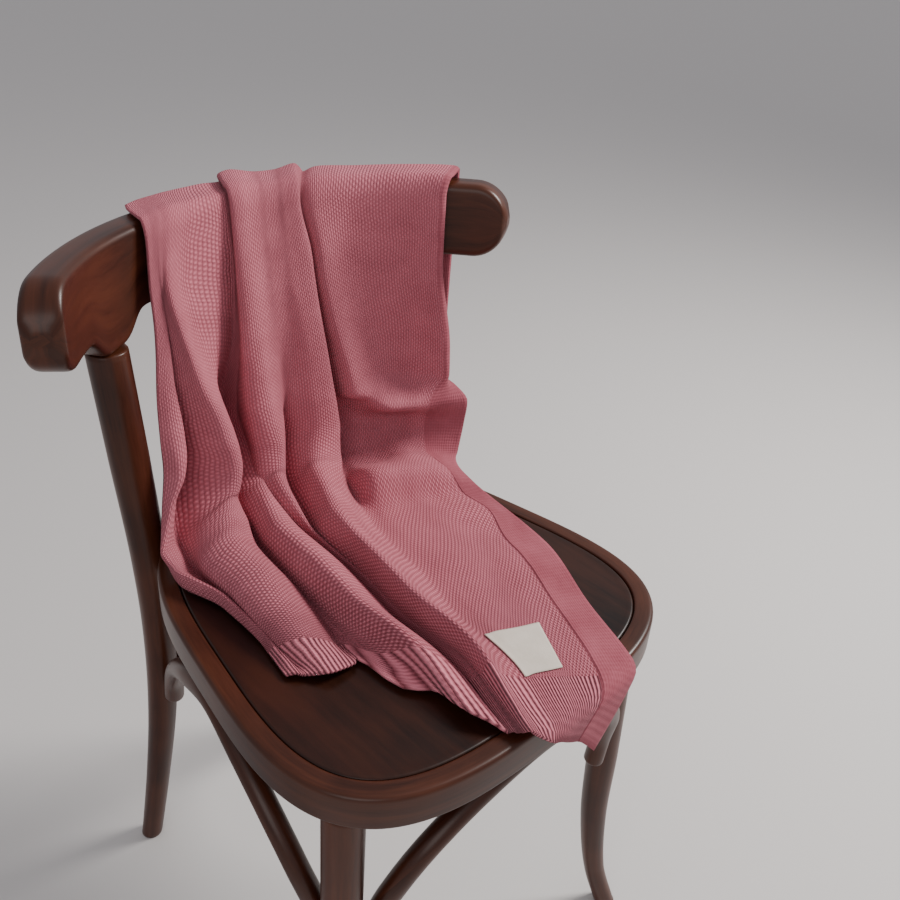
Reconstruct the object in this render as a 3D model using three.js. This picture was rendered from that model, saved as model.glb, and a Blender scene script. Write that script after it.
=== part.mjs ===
// Knitted baby blanket draped over a bentwood chair.
// Millimetres, Z up. The sitter faces -Y, and X runs to the left of the sitter.
// While it is built the middle of the seat is at X = 0, Y = 0 and the floor is at Z = 0.
import * as THREE from 'three';

// Seat
const SEAT_HEIGHT = 465;
const SEAT_HALF_WIDTH = 190;
const SEAT_FRONT = 220;
const SEAT_BACK = 198;
const SEAT_TAPER = 0.00087;
const CORNER_FRONT = 3.2;
const CORNER_BACK = 3.4;
const RING_HEIGHT = 33;
const RING_WIDTH = 38;
const RING_LIP = 17.5;
const PANEL_THICK = 8;
const FIT = 0.3;
const OUTLINE_STEPS = 60;

// Back rail, an arc in plan whose ends come forward
const RAIL_RADIUS = 298;
const RAIL_MIDDLE_Y = 239;
const RAIL_TOP = 768;
const RAIL_HEIGHT = 72;
const RAIL_THICK = 31;
const RAIL_HALF_LENGTH = 299;
const RAIL_END_ROUND = 36;
const RAIL_EDGE = 6;
const RAIL_EAR = 22;
const RAIL_EAR_WIDTH = 34;
const RAIL_CENTRE_Y = RAIL_MIDDLE_Y - RAIL_RADIUS;

// Blanket
const CLOTH_THICK = 2.6;
const CLOTH_REST = SEAT_HEIGHT + 0.7 + CLOTH_THICK / 2;
const CLOTH_END = 905;
const EDGE_Y = -220.6;
const EDGE_ROUND = 9;
const EDGE_BOW = 0.0012;
const EDGE_FLAT = 46;
const FOLD_GAP = 0.006;
const LABEL_THICK = 0.7;
const LABEL_GAP = 0.8;

const WOOD = { color: 0x3c1e14, roughness: 0.35, metalness: 0 };
const PANEL_WOOD = { color: 0x32170e, roughness: 0.4, metalness: 0 };
const KNIT = { color: 0xb96f7c, roughness: 0.95, metalness: 0 };
const COTTON = { color: 0xd9cdbd, roughness: 0.9, metalness: 0 };

const group = new THREE.Group();

function addMesh(name, geometry, look) {
  const mesh = new THREE.Mesh(geometry, new THREE.MeshStandardMaterial(look));
  mesh.name = name;
  group.add(mesh);
  return mesh;
}

// Closed body from its points and triangles, turned so that its faces look outwards
function solid(position, index) {
  let volume = 0;
  const corner = (k) => new THREE.Vector3().fromArray(position, index[k] * 3);
  for (let k = 0; k < index.length; k += 3) {
    volume += corner(k).dot(corner(k + 1).cross(corner(k + 2)));
  }
  if (volume < 0) index.reverse();
  const geometry = new THREE.BufferGeometry();
  geometry.setAttribute('position', new THREE.Float32BufferAttribute(position, 3));
  geometry.setIndex(index);
  geometry.computeVertexNormals();
  return geometry;
}

// Joins rings of equal length into one skin. A ring is a list of Vector3 that closes on itself.
// With closed set, the last ring meets the first; otherwise both ends get a fan to their middle.
function skin(rings, closed) {
  const count = rings[0].length;
  const position = [];
  const index = [];
  rings.forEach((ring) => ring.forEach((p) => position.push(p.x, p.y, p.z)));
  const spans = closed ? rings.length : rings.length - 1;
  for (let i = 0; i < spans; i += 1) {
    const next = (i + 1) % rings.length;
    for (let j = 0; j < count; j += 1) {
      const k = (j + 1) % count;
      const a = i * count + j;
      const b = i * count + k;
      const c = next * count + k;
      const d = next * count + j;
      index.push(a, b, c, a, c, d);
    }
  }
  if (!closed) {
    [[0, true], [rings.length - 1, false]].forEach(([i, first]) => {
      const middle = new THREE.Vector3();
      rings[i].forEach((p) => middle.addScaledVector(p, 1 / count));
      const tip = position.length / 3;
      position.push(middle.x, middle.y, middle.z);
      for (let j = 0; j < count; j += 1) {
        const a = i * count + j;
        const b = i * count + ((j + 1) % count);
        index.push(...(first ? [tip, b, a] : [tip, a, b]));
      }
    });
  }
  return solid(position, index);
}

// Seat outline: a rounded shape, wider in front, offset inwards along its own normal
function seatPoint(angle) {
  const c = Math.cos(angle);
  const s = Math.sin(angle);
  const power = 2 / (s < 0 ? CORNER_FRONT : CORNER_BACK);
  const depth = s < 0 ? SEAT_FRONT : SEAT_BACK;
  const y = depth * Math.sign(s) * Math.abs(s) ** power;
  const x = SEAT_HALF_WIDTH * Math.sign(c) * Math.abs(c) ** power * (1 - SEAT_TAPER * y);
  return new THREE.Vector2(x, y);
}

function seatOutline(inset, z) {
  // steps are even along the edge and start at the middle of the front, so both sides match
  const raw = [];
  for (let i = 0; i < 720; i += 1) raw.push(seatPoint((i / 720 - 0.25) * 2 * Math.PI));
  const length = [0];
  for (let i = 0; i < 720; i += 1) length.push(length[i] + raw[i].distanceTo(raw[(i + 1) % 720]));
  const even = [];
  let k = 0;
  for (let i = 0; i < OUTLINE_STEPS; i += 1) {
    const want = (i / OUTLINE_STEPS) * length[720];
    while (length[k + 1] < want) k += 1;
    const t = (want - length[k]) / (length[k + 1] - length[k]);
    even.push(raw[k].clone().lerp(raw[(k + 1) % 720], t));
  }
  return even.map((p, i) => {
    const before = even[(i + OUTLINE_STEPS - 1) % OUTLINE_STEPS];
    const after = even[(i + 1) % OUTLINE_STEPS];
    const side = after.clone().sub(before).normalize();
    return new THREE.Vector3(p.x - side.y * inset, p.y + side.x * inset, z);
  });
}

function seatRing() {
  const low = SEAT_HEIGHT - RING_HEIGHT;
  const ledge = SEAT_HEIGHT - PANEL_THICK - 1;
  const profile = [
    { inset: 2, z: low },
    { inset: 0, z: low + 2 },
    { inset: 0, z: SEAT_HEIGHT - 9 },
    { inset: 1.2, z: SEAT_HEIGHT - 4 },
    { inset: 3.5, z: SEAT_HEIGHT - 1.2 },
    { inset: 7, z: SEAT_HEIGHT },
    { inset: RING_LIP - 1.5, z: SEAT_HEIGHT },
    { inset: RING_LIP, z: SEAT_HEIGHT - 1 },
    { inset: RING_LIP, z: ledge },
    { inset: RING_WIDTH, z: ledge },
    { inset: RING_WIDTH, z: low },
  ];
  addMesh('seat_ring', skin(profile.map((p) => seatOutline(p.inset, p.z)), true), WOOD);
}

function seatPanel() {
  const low = SEAT_HEIGHT - PANEL_THICK - 1 + FIT;
  const gap = 0.5;
  const profile = [
    { inset: RING_LIP + gap, z: low },
    { inset: RING_LIP + gap, z: SEAT_HEIGHT - 2.5 },
    { inset: RING_LIP + gap + 2.2, z: SEAT_HEIGHT - 0.5 },
  ];
  addMesh('seat_panel', skin(profile.map((p) => seatOutline(p.inset, p.z)), false), PANEL_WOOD);
}

// Place on the rail's arc at a distance along it, counted from its middle
function railPoint(along, radius, z) {
  const angle = along / RAIL_RADIUS;
  return new THREE.Vector3(radius * Math.sin(angle), RAIL_CENTRE_Y + radius * Math.cos(angle), z);
}

const LEG_TOP_X = 157.5;
const LEG_ALONG = Math.asin(LEG_TOP_X / (RAIL_RADIUS - RAIL_THICK / 2)) * RAIL_RADIUS;

function railBottom(along) {
  const off = (Math.abs(along) - LEG_ALONG) / RAIL_EAR_WIDTH;
  return RAIL_TOP - RAIL_HEIGHT - RAIL_EAR * Math.exp(-off * off * off * off);
}

function backRail() {
  const stations = [];
  const ends = [0, 0.8, 3, 7, 12, 18, 26];
  ends.forEach((d) => stations.push(-RAIL_HALF_LENGTH + d));
  const middle = 30;
  const inner = RAIL_HALF_LENGTH - RAIL_END_ROUND;
  for (let i = 0; i <= middle; i += 1) stations.push(-inner + (2 * inner * i) / middle);
  ends.slice().reverse().forEach((d) => stations.push(RAIL_HALF_LENGTH - d));
  const rings = stations.map((along) => {
    const fromEnd = RAIL_HALF_LENGTH - Math.abs(along);
    const t = Math.min(fromEnd / RAIL_END_ROUND, 1);
    const round = Math.sqrt(Math.max(1 - (1 - t) ** 2, 0.02));
    const low = railBottom(along);
    const half = ((RAIL_TOP - low) / 2) * round;
    const mid = (RAIL_TOP + low) / 2;
    const soft = Math.min(1, 0.45 + fromEnd / 8);
    const thick = (RAIL_THICK / 2) * soft;
    const edge = Math.min(RAIL_EDGE, half * 0.6, thick * 0.6);
    const centre = RAIL_RADIUS - RAIL_THICK / 2;
    const corner = [
      [thick, half - edge], [thick, edge - half],
      [thick - edge, -half], [edge - thick, -half],
      [-thick, edge - half], [-thick, half - edge],
      [edge - thick, half], [thick - edge, half],
    ];
    return corner.map(([out, up]) => railPoint(along, centre + out, mid + up));
  });
  addMesh('back_rail', skin(rings, false), WOOD);
}

// A round bar along a smooth curve. Each row gives the centre and the bar's radius there.
// With level set, the sections stay level, so a leg stands flat and meets the ring flat.
function bar(rows, sides, steps, level) {
  const curve = new THREE.CatmullRomCurve3(rows.map((r) => new THREE.Vector3(r.x, r.y, r.z)));
  const frames = curve.computeFrenetFrames(steps, false);
  const rings = [];
  for (let i = 0; i <= steps; i += 1) {
    const t = i / steps;
    const centre = curve.getPoint(t);
    const at = t * (rows.length - 1);
    const k = Math.min(Math.floor(at), rows.length - 2);
    const radius = THREE.MathUtils.lerp(rows[k].r, rows[k + 1].r, at - k);
    const rim = THREE.MathUtils.lerp(rows[k].end ?? 1, rows[k + 1].end ?? 1, at - k);
    const ring = [];
    for (let j = 0; j < sides; j += 1) {
      const angle = ((j + 0.5) / sides) * 2 * Math.PI;
      const across = radius * rim * Math.cos(angle);
      const up = radius * rim * Math.sin(angle);
      const p = centre.clone();
      if (level) p.add(new THREE.Vector3(across, up, 0));
      else p.addScaledVector(frames.normals[i], across).addScaledVector(frames.binormals[i], up);
      ring.push(p);
    }
    rings.push(ring);
  }
  return skin(rings, false);
}

const FLARE = Math.SQRT1_2;
// Front leg from the floor up. Flare is how far it stands out along the seat's diagonal.
const FRONT_LEG = [
  { z: 0, flare: 37, r: 11.5 },
  { z: 61, flare: 17, r: 11.5 },
  { z: 150, flare: 4, r: 14 },
  { z: 245, flare: 0, r: 16 },
  { z: 340, flare: -4.5, r: 17 },
  { z: SEAT_HEIGHT - RING_HEIGHT - FIT, flare: -9, r: 17.3 },
];
const FRONT_LEG_X = 174.8;
const FRONT_LEG_Y = -162.2;

// Rear leg from the floor up to the rail
const REAR_LEG = [
  { z: 0, x: 149, y: 236, r: 12 },
  { z: 110, x: 138, y: 221, r: 13.5 },
  { z: 225, x: 130, y: 206, r: 15.5 },
  { z: 345, x: 130, y: 192, r: 16.5 },
  { z: 450, x: 136.9, y: 181.6, r: 17 },
  { z: 560, x: 146, y: 178, r: 18 },
  { z: RAIL_TOP - RAIL_HEIGHT - RAIL_EAR - FIT, x: LEG_TOP_X - 2, y: 175.4, r: 18 },
];

const SIDES = [{ name: 'left', x: -1 }, { name: 'right', x: 1 }];

function legs() {
  SIDES.forEach((side) => {
    const front = FRONT_LEG.map((r) => ({
      x: side.x * (FRONT_LEG_X + r.flare * FLARE), y: FRONT_LEG_Y - r.flare * FLARE, z: r.z, r: r.r,
    }));
    const rear = REAR_LEG.map((r) => ({ ...r, x: side.x * r.x }));
    addMesh(`front_leg_${side.name}`, bar(front, 10, 16, true), WOOD);
    addMesh(`rear_leg_${side.name}`, bar(rear, 10, 22, true), WOOD);
  });
}

// Bentwood braces: each springs from a leg, rises to the ring and comes down to the next leg
const BRACE_R = 10.5;
const BRACE_TOP = SEAT_HEIGHT - RING_HEIGHT - FIT - BRACE_R;
const SIDE_BRACE = [
  { x: 176, y: -134, z: 262 },
  { x: 178, y: -133, z: 296 },
  { x: 185, y: -119, z: 335 },
  { x: 188, y: -88, z: 374 },
  { x: 186, y: -48, z: 402 },
  { x: 180, y: 2, z: BRACE_TOP + 0.7 },
  { x: 171, y: 52, z: 406 },
  { x: 159, y: 94, z: 378 },
  { x: 146, y: 131, z: 342 },
  { x: 136, y: 158, z: 304 },
  { x: 131, y: 172, z: 268 },
];
const FRONT_BRACE = [
  { x: -146, y: -170, z: 262 },
  { x: -146, y: -173, z: 298 },
  { x: -134, y: -184, z: 342 },
  { x: -108, y: -193, z: 378 },
  { x: -62, y: -199, z: 405 },
  { x: 0, y: -203, z: BRACE_TOP },
];
const REAR_BRACE = [
  { x: -103, y: 206, z: 262 },
  { x: -101, y: 203, z: 296 },
  { x: -90, y: 196, z: 340 },
  { x: -66, y: 189, z: 380 },
  { x: -34, y: 184, z: 408 },
  { x: 0, y: 181, z: BRACE_TOP },
];

function withRadius(rows) {
  return rows.map((r, i) => ({ ...r, r: BRACE_R, end: i === 0 || i === rows.length - 1 ? 0.8 : 1 }));
}

function mirrored(rows) {
  const back = rows.slice(0, -1).reverse().map((r) => ({ ...r, x: -r.x }));
  return rows.concat(back);
}

function braces() {
  SIDES.forEach((side) => {
    const rows = SIDE_BRACE.map((r) => ({ ...r, x: side.x * r.x }));
    addMesh(`brace_${side.name}`, bar(withRadius(rows), 8, 26, false), WOOD);
  });
  addMesh('brace_front', bar(withRadius(mirrored(FRONT_BRACE)), 8, 26, false), WOOD);
  addMesh('brace_rear', bar(withRadius(mirrored(REAR_BRACE)), 8, 26, false), WOOD);
}

// Blanket. Its base is a plain sheet that hangs from behind the rail, over it and down onto the
// seat. Each section is a line from the left edge to the right edge, at a distance along the
// cloth, with the radius of its bow in plan. Fold lines then say where each fold runs and how
// far it stands off that sheet.
function onRail(along, radius, z, left, right, zr) {
  const xl = radius * Math.sin(THREE.MathUtils.degToRad(left));
  const yl = RAIL_CENTRE_Y + radius * Math.cos(THREE.MathUtils.degToRad(left));
  const xr = radius * Math.sin(THREE.MathUtils.degToRad(right));
  const yr = RAIL_CENTRE_Y + radius * Math.cos(THREE.MathUtils.degToRad(right));
  return { along, xl, yl, zl: z, xr, yr, zr: zr ?? z, bow: 1 / radius };
}

const SECTIONS = [
  onRail(0, 309, 490, -13, 46, 470),
  onRail(150, 307, 630, -14, 46, 620),
  onRail(288, 303.5, 758, -17, 46.5),
  onRail(306, 298.5, 772, -20, 46.5),
  onRail(330, 267, 772, -24, 45),
  onRail(348, 261, 758, -24.5, 44),
  onRail(410, 259, 697, -24.5, 44),
  { along: 500, xl: -115, yl: 174, zl: 606, xr: 188, yr: 114, zr: 606, bow: 0.0037 },
  { along: 575, xl: -128, yl: 156, zl: 530, xr: 192, yr: 110, zr: 530, bow: 0.0036 },
  { along: 628, xl: -145, yl: 132, zl: 484, xr: 182, yr: 92, zr: 481, bow: 0.0028 },
  { along: 690, xl: -148, yl: 100, zl: CLOTH_REST, xr: 173, yr: 20, zr: CLOTH_REST, bow: 0.0012 },
  { along: 750, xl: -137, yl: 50, zl: CLOTH_REST, xr: 158, yr: -65, zr: CLOTH_REST, bow: 0.0003 },
  { along: 810, xl: -138, yl: 0, zl: CLOTH_REST, xr: 118, yr: -150, zr: CLOTH_REST, bow: 0 },
  { along: 868, xl: -141, yl: -28, zl: CLOTH_REST, xr: 84, yr: -230, zr: CLOTH_REST, bow: 0 },
  { along: CLOTH_END, xl: -144, yl: -51, zl: CLOTH_REST, xr: 38, yr: -289, zr: CLOTH_REST, bow: 0 },
];

// Where each fold line crosses these distances along the cloth
const STATIONS = [0, 290, 345, 400, 470, 530, 545, 560, 586, 620, 660, 700, 745, 800, 860, 905];

// Fold lines from left to right: distance across the flat cloth, how far the hem is pulled forward
// there, share of the width at each station, and lift off the base sheet at each station
const FOLDS = [
  { name: 'left edge', flat: 0, hem: 0,
    share: [0, 0, 0, -.02, -.02, -.01, -.005, 0, 0, 0, 0, 0, .005, .01, .005, 0],
    lift: [0, 0, 0, 2, 3, 3, 3, 2, 0, 0, 0, 0, 0, 0, 0, 0] },
  { name: 'left roll', flat: 14, hem: -2,
    share: [.05, .04, .02, 0, .005, .015, .01, .005, -.015, -.035, -.015, 0, .005, .015, .02, .03],
    lift: [3, 1, 1, 4, 9, 15, 18, 19, 12, 10, 14, 14, 13, 10, 7, 3] },
  { name: 'left strip', flat: 24, hem: -3,
    share: [.07, .06, .03, .01, .02, .05, .05, .045, .03, .02, .02, .02, .015, .02, .025, .045],
    lift: [1, 1, 2, 5, 10, 14, 15, 14, 6, 6, 10, 10, 10, 8, 6, 3] },
  { name: 'left hollow', flat: 36, hem: -5,
    share: [.1, .08, .04, .015, .045, .08, .09, .095, .095, .08, .065, .06, .03, .025, .03, .06],
    lift: [0, 1, 2, 6, 6, -6, -11, -15, -17, -8, 0, 1, 3, 4, 4, 2] },
  { name: 'roll left', flat: 50, hem: -6,
    share: [.12, .1, .06, .02, .06, .11, .12, .13, .14, .12, .085, .06, .035, .03, .045, .09],
    lift: [1, 1, 2, 8, 14, 12, 12, 12, 8, 16, 18, 18, 17, 14, 8, 3] },
  { name: 'first ridge', flat: 66, hem: -8,
    share: [.15, .13, .09, .032, .078, .14, .15, .165, .185, .2, .17, .135, .11, .095, .1, .13],
    lift: [4, 1, 3, 12, 22, 34, 36, 38, 38, 35, 35, 32, 29, 23, 14, 6] },
  { name: 'ridge right', flat: 90, hem: -22,
    share: [.2, .2, .17, .12, .16, .2, .21, .22, .235, .245, .235, .2, .175, .17, .17, .19],
    lift: [2, 1, 1, 4, 11, 26, 29, 30, 29, 26, 28, 24, 20, 15, 9, 4] },
  { name: 'ridge foot', flat: 104, hem: -30,
    share: [.24, .25, .25, .23, .245, .24, .24, .245, .25, .26, .25, .235, .21, .205, .205, .22],
    lift: [-1, 1, 1, 2, 2, -8, -12, -14, -12, 2, 8, 8, 8, 6, 4, 3] },
  { name: 'first valley', flat: 116, hem: -36,
    share: [.29, .29, .3, .31, .31, .28, .275, .275, .275, .27, .26, .245, .215, .225, .23, .24],
    lift: [-3, 0, 0, -2, -9, -22, -25, -26, -26, -10, 3, 4, 4, 3, 2, 2] },
  { name: 'under panel', flat: 122, hem: -8,
    share: [.3, .3, .306, .316, .317, .3, .295, .29, .285, .28, .268, .25, .22, .245, .285, .31],
    lift: [-2, 0, 0, -1, -8, -22, -24, -25, -22, -2, 7, 8, 7, 4, 3, 2] },
  { name: 'roll B left', flat: 130, hem: -6,
    share: [.305, .305, .31, .32, .322, .31, .305, .3, .295, .285, .272, .25, .225, .255, .325, .41],
    lift: [-1, 0, 0, -1, -5, -18, -19, -18, -8, 12, 17, 18, 17, 14, 8, 4] },
  { name: 'roll B', flat: 144, hem: 12,
    share: [.31, .31, .313, .322, .325, .32, .322, .328, .335, .335, .315, .285, .265, .28, .365, .465],
    lift: [0, 0, 0, 0, -2, -12, -12, -9, 4, 23, 30, 32, 33, 31, 23, 10] },
  { name: 'B right', flat: 158, hem: 15,
    share: [.313, .313, .316, .324, .328, .325, .325, .332, .345, .36, .36, .35, .34, .36, .44, .53],
    lift: [1, 1, 1, 1, 0, -8, -6, -2, 6, 18, 21, 21, 20, 18, 14, 7] },
  { name: 'valley BC', flat: 168, hem: 17,
    share: [.315, .314, .317, .323, .325, .322, .322, .326, .338, .355, .362, .382, .387, .412, .492, .57],
    lift: [2, 3, 3, 3, 3, -1, 1, 5, 10, 12, 10, 6, 4, 4, 4, 3] },
  { name: 'lobe left', flat: 182, hem: 17,
    share: [.318, .308, .31, .305, .3, .298, .3, .308, .322, .343, .35, .385, .39, .415, .5, .58],
    lift: [3, 7, 7, 10, 16, 23, 26, 27, 28, 26, 22, 10, 6, 5, 5, 3] },
  { name: 'lobe', flat: 198, hem: 17,
    share: [.36, .345, .338, .335, .34, .345, .352, .36, .38, .39, .38, .39, .395, .42, .51, .59],
    lift: [8, 9, 9, 14, 21, 32, 35, 37, 38, 38, 36, 15, 8, 8, 8, 5] },
  { name: 'lobe right', flat: 218, hem: 17,
    share: [.4, .4, .4, .4, .4, .405, .41, .415, .42, .425, .41, .395, .398, .425, .515, .6],
    lift: [8, 5, 5, 9, 15, 23, 25, 27, 27, 25, 20, 8, 6, 8, 9, 5] },
  { name: 'pocket', flat: 236, hem: 17,
    share: [.43, .43, .43, .43, .435, .445, .45, .45, .455, .455, .435, .402, .402, .43, .52, .605],
    lift: [7, 4, 4, 9, 12, 12, 9, 4, -8, -10, -3, 2, 9, 12, 11, 6] },
  { name: 'panel left', flat: 252, hem: 17,
    share: [.47, .47, .465, .465, .47, .475, .48, .485, .49, .49, .465, .42, .41, .435, .525, .612],
    lift: [6, 4, 5, 10, 14, 16, 16, 15, 12, 13, 17, 19, 21, 21, 15, 7] },
  { name: 'roll C', flat: 272, hem: 17,
    share: [.5, .49, .49, .5, .52, .54, .543, .545, .545, .535, .505, .46, .42, .45, .54, .625],
    lift: [6, 5, 7, 12, 16, 21, 23, 24, 25, 26, 30, 32, 33, 31, 24, 11] },
  { name: 'panel edge', flat: 294, hem: 15,
    share: [.54, .53, .53, .56, .577, .6, .607, .614, .622, .622, .575, .52, .475, .5, .57, .65],
    lift: [7, 8, 9, 14, 18, 23, 24, 24, 24, 20, 18, 18, 21, 20, 14, 7] },
  { name: 'back turn', flat: 308, hem: 13,
    share: [.56, .545, .54, .568, .58, .6, .608, .615, .625, .63, .595, .55, .52, .54, .605, .68],
    lift: [5, 5, 4, 6, 6, 4, 4, 3, 2, 6, 8, 9, 10, 9, 7, 5] },
  { name: 'second valley', flat: 320, hem: 11,
    share: [.57, .555, .55, .575, .592, .612, .62, .63, .64, .65, .62, .59, .57, .59, .65, .71],
    lift: [0, 0, 0, -2, -5, -9, -11, -12, -13, -8, 0, 1, 1, 1, 2, 3] },
  { name: 'gather', flat: 346, hem: 8,
    share: [.61, .6, .59, .605, .63, .665, .67, .68, .69, .69, .67, .65, .64, .65, .69, .74],
    lift: [5, 4, 5, 11, 15, 19, 18, -3, -16, -4, 14, 1, 1, 1, 1, 3] },
  { name: 'curtain', flat: 380, hem: 6,
    share: [.72, .71, .71, .72, .735, .755, .76, .765, .77, .77, .75, .74, .73, .73, .75, .78],
    lift: [1, 3, 4, 4, 0, 8, 14, 23, -14, -2, 20, 1, 1, 0, 1, 2] },
  { name: 'curtain right', flat: 415, hem: 4,
    share: [.84, .85, .855, .87, .87, .86, .855, .85, .84, .84, .83, .82, .81, .8, .8, .82],
    lift: [0, 4, 5, 1, -4, 2, 10, 22, -6, 10, 20, 2, 0, 0, 0, 1] },
  { name: 'band seam', flat: 450, hem: 2,
    share: [.98, .985, .985, .99, .985, .98, .95, .93, .92, .915, .92, .94, .89, .893, .88, .86],
    lift: [2, 5, 5, 5, 8, 11, 16, 19, 4, 8, 14, 2, 0, 0, 0, 0] },
  { name: 'band turn', flat: 458, hem: 1,
    share: [1, 1, 1.003, 1.005, 1, .995, .985, .955, .945, .935, .93, .95, .91, .915, .905, .89],
    lift: [1, 3, 3, 3, 5, 8, 11, 16, 4, 7, 12, 1, 0, 0, 0, 0] },
  { name: 'right edge', flat: 490, hem: 0,
    share: [.9, .9, .9, .9, .89, .93, 1.01, 1.055, 1.045, 1.02, .98, 1, 1, 1, 1, 1],
    lift: [0, 0, 0, -1, -1, 0, 0, 6, 4, 4, 8, 0, 0, 0, 0, 0] },
];

// Smooth curve through a table that never overshoots its rows
function smooth(xs, ys, x) {
  const last = xs.length - 1;
  const at = Math.min(Math.max(x, xs[0]), xs[last]);
  let i = 0;
  while (i < last - 1 && xs[i + 1] <= at) i += 1;
  const slope = (k) => (ys[k + 1] - ys[k]) / (xs[k + 1] - xs[k]);
  const tangent = (k) => {
    if (k === 0) return slope(0);
    if (k === last) return slope(last - 1);
    const a = slope(k - 1);
    const b = slope(k);
    return a * b > 0 ? (2 * a * b) / (a + b) : 0;
  };
  return cubic(ys[i], ys[i + 1], tangent(i), tangent(i + 1), xs[i + 1] - xs[i], at - xs[i]);
}

function cubic(y0, y1, m0, m1, span, x) {
  const t = x / span;
  const t2 = t * t;
  const t3 = t2 * t;
  return (2 * t3 - 3 * t2 + 1) * y0 + (t3 - 2 * t2 + t) * span * m0
    + (3 * t2 - 2 * t3) * y1 + (t3 - t2) * span * m1;
}

// Rounder curve through the fold lines, for crests and valleys
function across(xs, ys, x) {
  const last = xs.length - 1;
  let i = 0;
  while (i < last - 1 && xs[i + 1] <= x) i += 1;
  const tangent = (k) => {
    const a = Math.max(k - 1, 0);
    const b = Math.min(k + 1, last);
    return (ys[b] - ys[a]) / (xs[b] - xs[a]);
  };
  return cubic(ys[i], ys[i + 1], tangent(i), tangent(i + 1), xs[i + 1] - xs[i], x - xs[i]);
}

// The cloth rolls over the seat's front edge and hangs from there
function overEdge(x, y, z) {
  const edge = EDGE_Y + EDGE_BOW * Math.max(Math.abs(x) - EDGE_FLAT, 0) ** 2;
  const past = Math.max(edge - y, 0);
  if (past === 0) return new THREE.Vector3(x, y, z);
  const turn = Math.min(past / EDGE_ROUND, Math.PI / 2);
  const drop = EDGE_ROUND * (1 - Math.cos(turn)) + Math.max(past - (EDGE_ROUND * Math.PI) / 2, 0);
  return new THREE.Vector3(x, edge - EDGE_ROUND * Math.sin(turn), z - drop);
}

const ALONGS = SECTIONS.map((row) => row.along);
const EDGE_KEYS = ['xl', 'yl', 'zl', 'xr', 'yr', 'zr', 'bow'];
const EDGE_VALUES = EDGE_KEYS.map((key) => SECTIONS.map((row) => row[key]));

function section(along) {
  const [xl, yl, zl, xr, yr, zr, bow] = EDGE_VALUES.map((ys) => smooth(ALONGS, ys, along));
  return { xl, yl, zl, xr, yr, zr, bow: Math.max(bow, 1e-6) };
}

function flatSheet(share, along) {
  const q = section(along);
  const half = Math.hypot(q.xr - q.xl, q.yr - q.yl) / 2;
  const ux = (q.xr - q.xl) / (2 * half);
  const uy = (q.yr - q.yl) / (2 * half);
  const full = Math.asin(Math.min(half * q.bow, 0.99));
  const turn = (2 * share - 1) * full;
  const side = Math.sin(turn) / q.bow;
  const rear = (Math.cos(turn) - Math.cos(full)) / q.bow;
  const x = (q.xl + q.xr) / 2 + ux * side - uy * rear;
  const y = (q.yl + q.yr) / 2 + uy * side + ux * rear;
  return new THREE.Vector3(x, y, q.zl + (q.zr - q.zl) * share);
}

// Point of the base sheet; past its last section the sheet goes straight on
function base(share, along) {
  if (along <= CLOTH_END) {
    const p = flatSheet(share, along);
    return overEdge(p.x, p.y, p.z);
  }
  const end = flatSheet(share, CLOTH_END);
  const before = flatSheet(share, CLOTH_END - 1);
  end.addScaledVector(end.clone().sub(before), along - CLOTH_END);
  return overEdge(end.x, end.y, end.z);
}

function baseNormal(share, along) {
  const total = new THREE.Vector3();
  for (let k = -2; k <= 2; k += 1) {
    const at = Math.max(along + k * 5, 0);
    const p = base(share, at);
    const down = base(share, at + 1).sub(p);
    const side = base(share + 0.004, at).sub(p);
    total.addScaledVector(down.cross(side).normalize(), 3 - Math.abs(k));
  }
  return total.normalize();
}

const FLATS = FOLDS.map((row) => row.flat);

// In the solid the fold lines keep a small distance, so a fold leans over but never lies on itself
function apart(shares) {
  let last = -1;
  return shares.map((share) => {
    last = Math.max(share, last + FOLD_GAP);
    return last;
  });
}

// Place and outward direction of the cloth at a flat distance across and a distance along
function clothAt(distance, along) {
  const shares = apart(FOLDS.map((row) => smooth(STATIONS, row.share, along)));
  const lifts = FOLDS.map((row) => smooth(STATIONS, row.lift, along));
  const share = across(FLATS, shares, distance);
  const lift = across(FLATS, lifts, distance);
  const pull = Math.min(Math.max((along - 700) / (CLOTH_END - 700), 0), 1) ** 1.5;
  const reach = along + pull * across(FLATS, FOLDS.map((row) => row.hem), distance);
  const normal = baseNormal(share, reach);
  const flat = base(share, reach);
  const point = flat.clone().addScaledVector(normal, lift);
  if (flat.z >= CLOTH_REST - 0.01) point.z = Math.max(point.z, CLOTH_REST);
  return { point, normal };
}

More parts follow.
